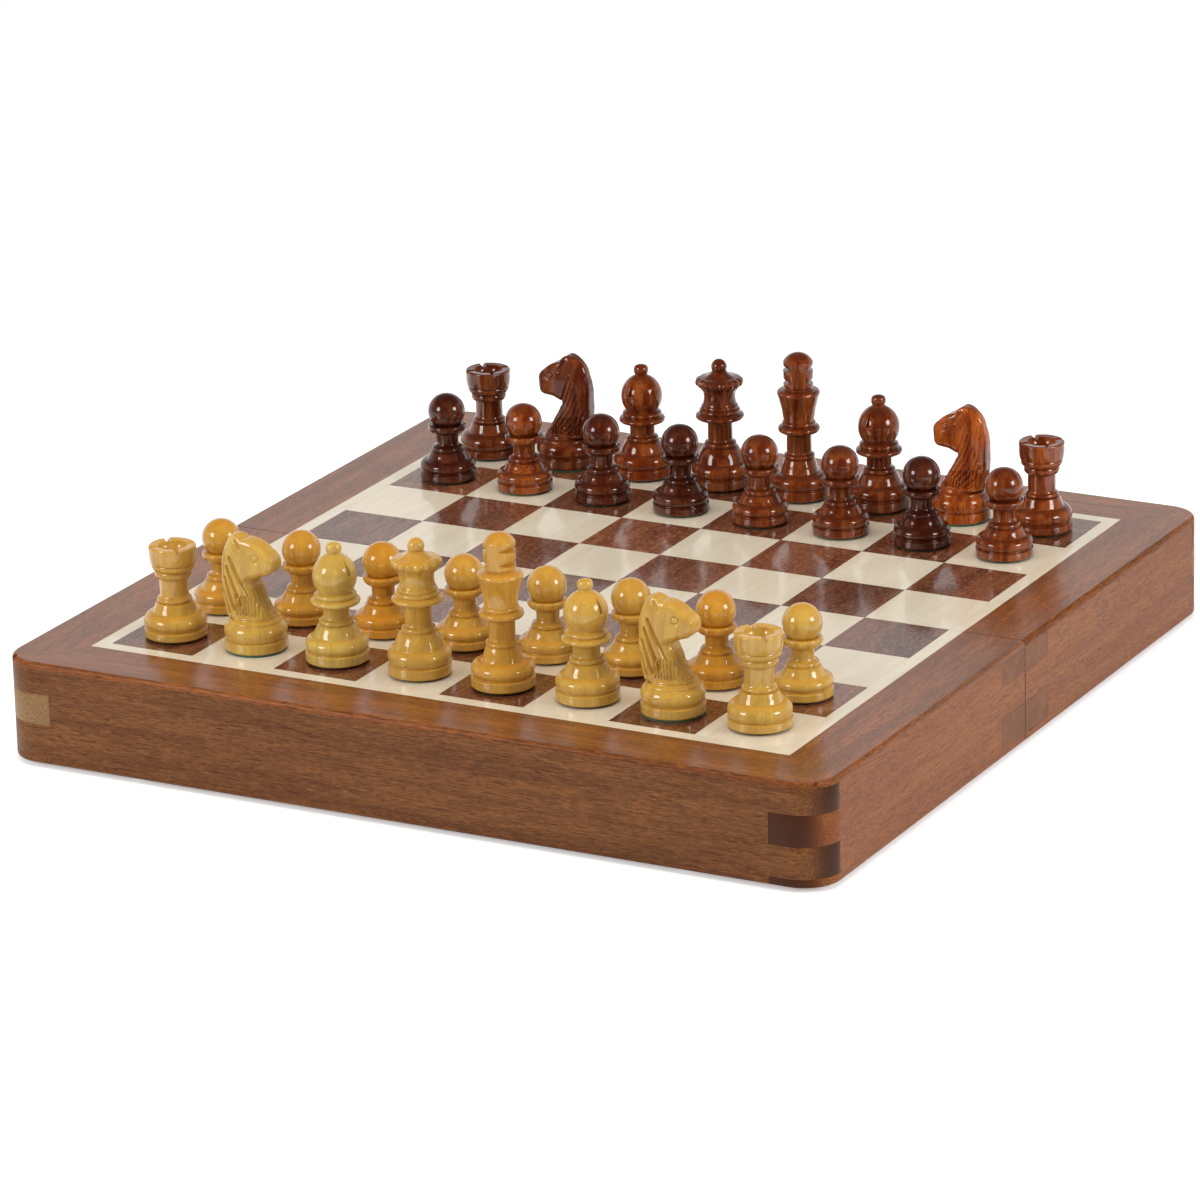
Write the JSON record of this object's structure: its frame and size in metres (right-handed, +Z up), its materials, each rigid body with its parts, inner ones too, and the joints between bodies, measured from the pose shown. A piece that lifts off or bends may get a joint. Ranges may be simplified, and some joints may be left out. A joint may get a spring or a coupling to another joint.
{
  "type": "folding chess box",
  "caption": "Wooden chess box that folds on a hinge: two half boxes whose backs form the playing board, with chessmen standing on it.",
  "frame": {"origin": "under the middle of the fold line, level with the foot of the hinge barrels", "axes": "+X along the files from a to h, +Y along the ranks from the light men to the dark men, +Z up from the playing surface"},
  "size_m": [0.254, 0.254, 0.0749],
  "materials": {
    "sheesham_wall": "clear lacquered brown hardwood, satin gloss",
    "sheesham_border": "clear lacquered brown hardwood, gloss",
    "sheesham_square": "clear lacquered red-brown hardwood, gloss",
    "maple": "clear lacquered pale wood, gloss",
    "plywood": "bare plywood",
    "steel_sheet": "thin rolled sheet",
    "tray_felt": "dark green felt over foam",
    "magnet": "nickel plated",
    "brass": "polished",
    "boxwood": "honey yellow turned wood, gloss lacquer",
    "rosewood": "dark red-brown turned wood, gloss lacquer"
  },
  "bodies": {
    "near_half": {"near_outer_wall": "sheesham_wall", "near_fold_wall": "sheesham_wall", "near_left_wall": "sheesham_wall", "near_right_wall": "sheesham_wall", "near_deck": "plywood", "near_steel_sheet": "steel_sheet", "near_light_squares": "maple", "near_dark_squares": "sheesham_square", "near_inlay_lines": "maple", "near_border_strips": "sheesham_border", "near_storage_tray": "tray_felt", "near_closing_magnets": "magnet", "near_hinge_leaves": "brass", "near_hinge_screws": "brass"},
    "far_half": {"far_outer_wall": "sheesham_wall", "far_fold_wall": "sheesham_wall", "far_left_wall": "sheesham_wall", "far_right_wall": "sheesham_wall", "far_deck": "plywood", "far_steel_sheet": "steel_sheet", "far_light_squares": "maple", "far_dark_squares": "sheesham_square", "far_inlay_lines": "maple", "far_border_strips": "sheesham_border", "far_storage_tray": "tray_felt", "far_closing_magnets": "magnet", "far_hinge_leaves": "brass", "far_hinge_screws": "brass"},
    "light_rook_a1": {"light_rook_a1": "boxwood"},
    "light_pawn_a2": {"light_pawn_a2": "boxwood"},
    "light_knight_b1": {"light_knight_b1": "boxwood"},
    "light_pawn_b2": {"light_pawn_b2": "boxwood"},
    "light_bishop_c1": {"light_bishop_c1": "boxwood"},
    "light_pawn_c2": {"light_pawn_c2": "boxwood"},
    "light_queen_d1": {"light_queen_d1": "boxwood"},
    "light_pawn_d2": {"light_pawn_d2": "boxwood"},
    "light_king_e1": {"light_king_e1": "boxwood"},
    "light_pawn_e2": {"light_pawn_e2": "boxwood"},
    "light_bishop_f1": {"light_bishop_f1": "boxwood"},
    "light_pawn_f2": {"light_pawn_f2": "boxwood"},
    "light_knight_g1": {"light_knight_g1": "boxwood"},
    "light_pawn_g2": {"light_pawn_g2": "boxwood"},
    "light_rook_h1": {"light_rook_h1": "boxwood"},
    "light_pawn_h2": {"light_pawn_h2": "boxwood"},
    "dark_rook_a8": {"dark_rook_a8": "rosewood"},
    "dark_pawn_a7": {"dark_pawn_a7": "rosewood"},
    "dark_knight_b8": {"dark_knight_b8": "rosewood"},
    "dark_pawn_b7": {"dark_pawn_b7": "rosewood"},
    "dark_bishop_c8": {"dark_bishop_c8": "rosewood"},
    "dark_pawn_c7": {"dark_pawn_c7": "rosewood"},
    "dark_queen_d8": {"dark_queen_d8": "rosewood"},
    "dark_pawn_d7": {"dark_pawn_d7": "rosewood"},
    "dark_king_e8": {"dark_king_e8": "rosewood"},
    "dark_pawn_e7": {"dark_pawn_e7": "rosewood"},
    "dark_bishop_f8": {"dark_bishop_f8": "rosewood"},
    "dark_pawn_f7": {"dark_pawn_f7": "rosewood"},
    "dark_knight_g8": {"dark_knight_g8": "rosewood"},
    "dark_pawn_g7": {"dark_pawn_g7": "rosewood"},
    "dark_rook_h8": {"dark_rook_h8": "rosewood"},
    "dark_pawn_h7": {"dark_pawn_h7": "rosewood"}
  },
  "joints": [
    {"name": "fold", "type": "hinge", "parent": "near_half", "child": "far_half", "pos_m": [0, 0, 0.00115], "axis": [-1, 0, 0], "range_deg": [0, 180]},
    {"name": "lift_light_rook_a1", "type": "slide", "parent": "near_half", "child": "light_rook_a1", "axis": [0, 0, 1], "range_m": [0, 0.08]},
    {"name": "lift_light_pawn_a2", "type": "slide", "parent": "near_half", "child": "light_pawn_a2", "axis": [0, 0, 1], "range_m": [0, 0.08]},
    {"name": "lift_light_knight_b1", "type": "slide", "parent": "near_half", "child": "light_knight_b1", "axis": [0, 0, 1], "range_m": [0, 0.08]},
    {"name": "lift_light_pawn_b2", "type": "slide", "parent": "near_half", "child": "light_pawn_b2", "axis": [0, 0, 1], "range_m": [0, 0.08]},
    {"name": "lift_light_bishop_c1", "type": "slide", "parent": "near_half", "child": "light_bishop_c1", "axis": [0, 0, 1], "range_m": [0, 0.08]},
    {"name": "lift_light_pawn_c2", "type": "slide", "parent": "near_half", "child": "light_pawn_c2", "axis": [0, 0, 1], "range_m": [0, 0.08]},
    {"name": "lift_light_queen_d1", "type": "slide", "parent": "near_half", "child": "light_queen_d1", "axis": [0, 0, 1], "range_m": [0, 0.08]},
    {"name": "lift_light_pawn_d2", "type": "slide", "parent": "near_half", "child": "light_pawn_d2", "axis": [0, 0, 1], "range_m": [0, 0.08]},
    {"name": "lift_light_king_e1", "type": "slide", "parent": "near_half", "child": "light_king_e1", "axis": [0, 0, 1], "range_m": [0, 0.08]},
    {"name": "lift_light_pawn_e2", "type": "slide", "parent": "near_half", "child": "light_pawn_e2", "axis": [0, 0, 1], "range_m": [0, 0.08]},
    {"name": "lift_light_bishop_f1", "type": "slide", "parent": "near_half", "child": "light_bishop_f1", "axis": [0, 0, 1], "range_m": [0, 0.08]},
    {"name": "lift_light_pawn_f2", "type": "slide", "parent": "near_half", "child": "light_pawn_f2", "axis": [0, 0, 1], "range_m": [0, 0.08]},
    {"name": "lift_light_knight_g1", "type": "slide", "parent": "near_half", "child": "light_knight_g1", "axis": [0, 0, 1], "range_m": [0, 0.08]},
    {"name": "lift_light_pawn_g2", "type": "slide", "parent": "near_half", "child": "light_pawn_g2", "axis": [0, 0, 1], "range_m": [0, 0.08]},
    {"name": "lift_light_rook_h1", "type": "slide", "parent": "near_half", "child": "light_rook_h1", "axis": [0, 0, 1], "range_m": [0, 0.08]},
    {"name": "lift_light_pawn_h2", "type": "slide", "parent": "near_half", "child": "light_pawn_h2", "axis": [0, 0, 1], "range_m": [0, 0.08]},
    {"name": "lift_dark_rook_a8", "type": "slide", "parent": "far_half", "child": "dark_rook_a8", "axis": [0, 0, 1], "range_m": [0, 0.08]},
    {"name": "lift_dark_pawn_a7", "type": "slide", "parent": "far_half", "child": "dark_pawn_a7", "axis": [0, 0, 1], "range_m": [0, 0.08]},
    {"name": "lift_dark_knight_b8", "type": "slide", "parent": "far_half", "child": "dark_knight_b8", "axis": [0, 0, 1], "range_m": [0, 0.08]},
    {"name": "lift_dark_pawn_b7", "type": "slide", "parent": "far_half", "child": "dark_pawn_b7", "axis": [0, 0, 1], "range_m": [0, 0.08]},
    {"name": "lift_dark_bishop_c8", "type": "slide", "parent": "far_half", "child": "dark_bishop_c8", "axis": [0, 0, 1], "range_m": [0, 0.08]},
    {"name": "lift_dark_pawn_c7", "type": "slide", "parent": "far_half", "child": "dark_pawn_c7", "axis": [0, 0, 1], "range_m": [0, 0.08]},
    {"name": "lift_dark_queen_d8", "type": "slide", "parent": "far_half", "child": "dark_queen_d8", "axis": [0, 0, 1], "range_m": [0, 0.08]},
    {"name": "lift_dark_pawn_d7", "type": "slide", "parent": "far_half", "child": "dark_pawn_d7", "axis": [0, 0, 1], "range_m": [0, 0.08]},
    {"name": "lift_dark_king_e8", "type": "slide", "parent": "far_half", "child": "dark_king_e8", "axis": [0, 0, 1], "range_m": [0, 0.08]},
    {"name": "lift_dark_pawn_e7", "type": "slide", "parent": "far_half", "child": "dark_pawn_e7", "axis": [0, 0, 1], "range_m": [0, 0.08]},
    {"name": "lift_dark_bishop_f8", "type": "slide", "parent": "far_half", "child": "dark_bishop_f8", "axis": [0, 0, 1], "range_m": [0, 0.08]},
    {"name": "lift_dark_pawn_f7", "type": "slide", "parent": "far_half", "child": "dark_pawn_f7", "axis": [0, 0, 1], "range_m": [0, 0.08]},
    {"name": "lift_dark_knight_g8", "type": "slide", "parent": "far_half", "child": "dark_knight_g8", "axis": [0, 0, 1], "range_m": [0, 0.08]},
    {"name": "lift_dark_pawn_g7", "type": "slide", "parent": "far_half", "child": "dark_pawn_g7", "axis": [0, 0, 1], "range_m": [0, 0.08]},
    {"name": "lift_dark_rook_h8", "type": "slide", "parent": "far_half", "child": "dark_rook_h8", "axis": [0, 0, 1], "range_m": [0, 0.08]},
    {"name": "lift_dark_pawn_h7", "type": "slide", "parent": "far_half", "child": "dark_pawn_h7", "axis": [0, 0, 1], "range_m": [0, 0.08]}
  ]
}
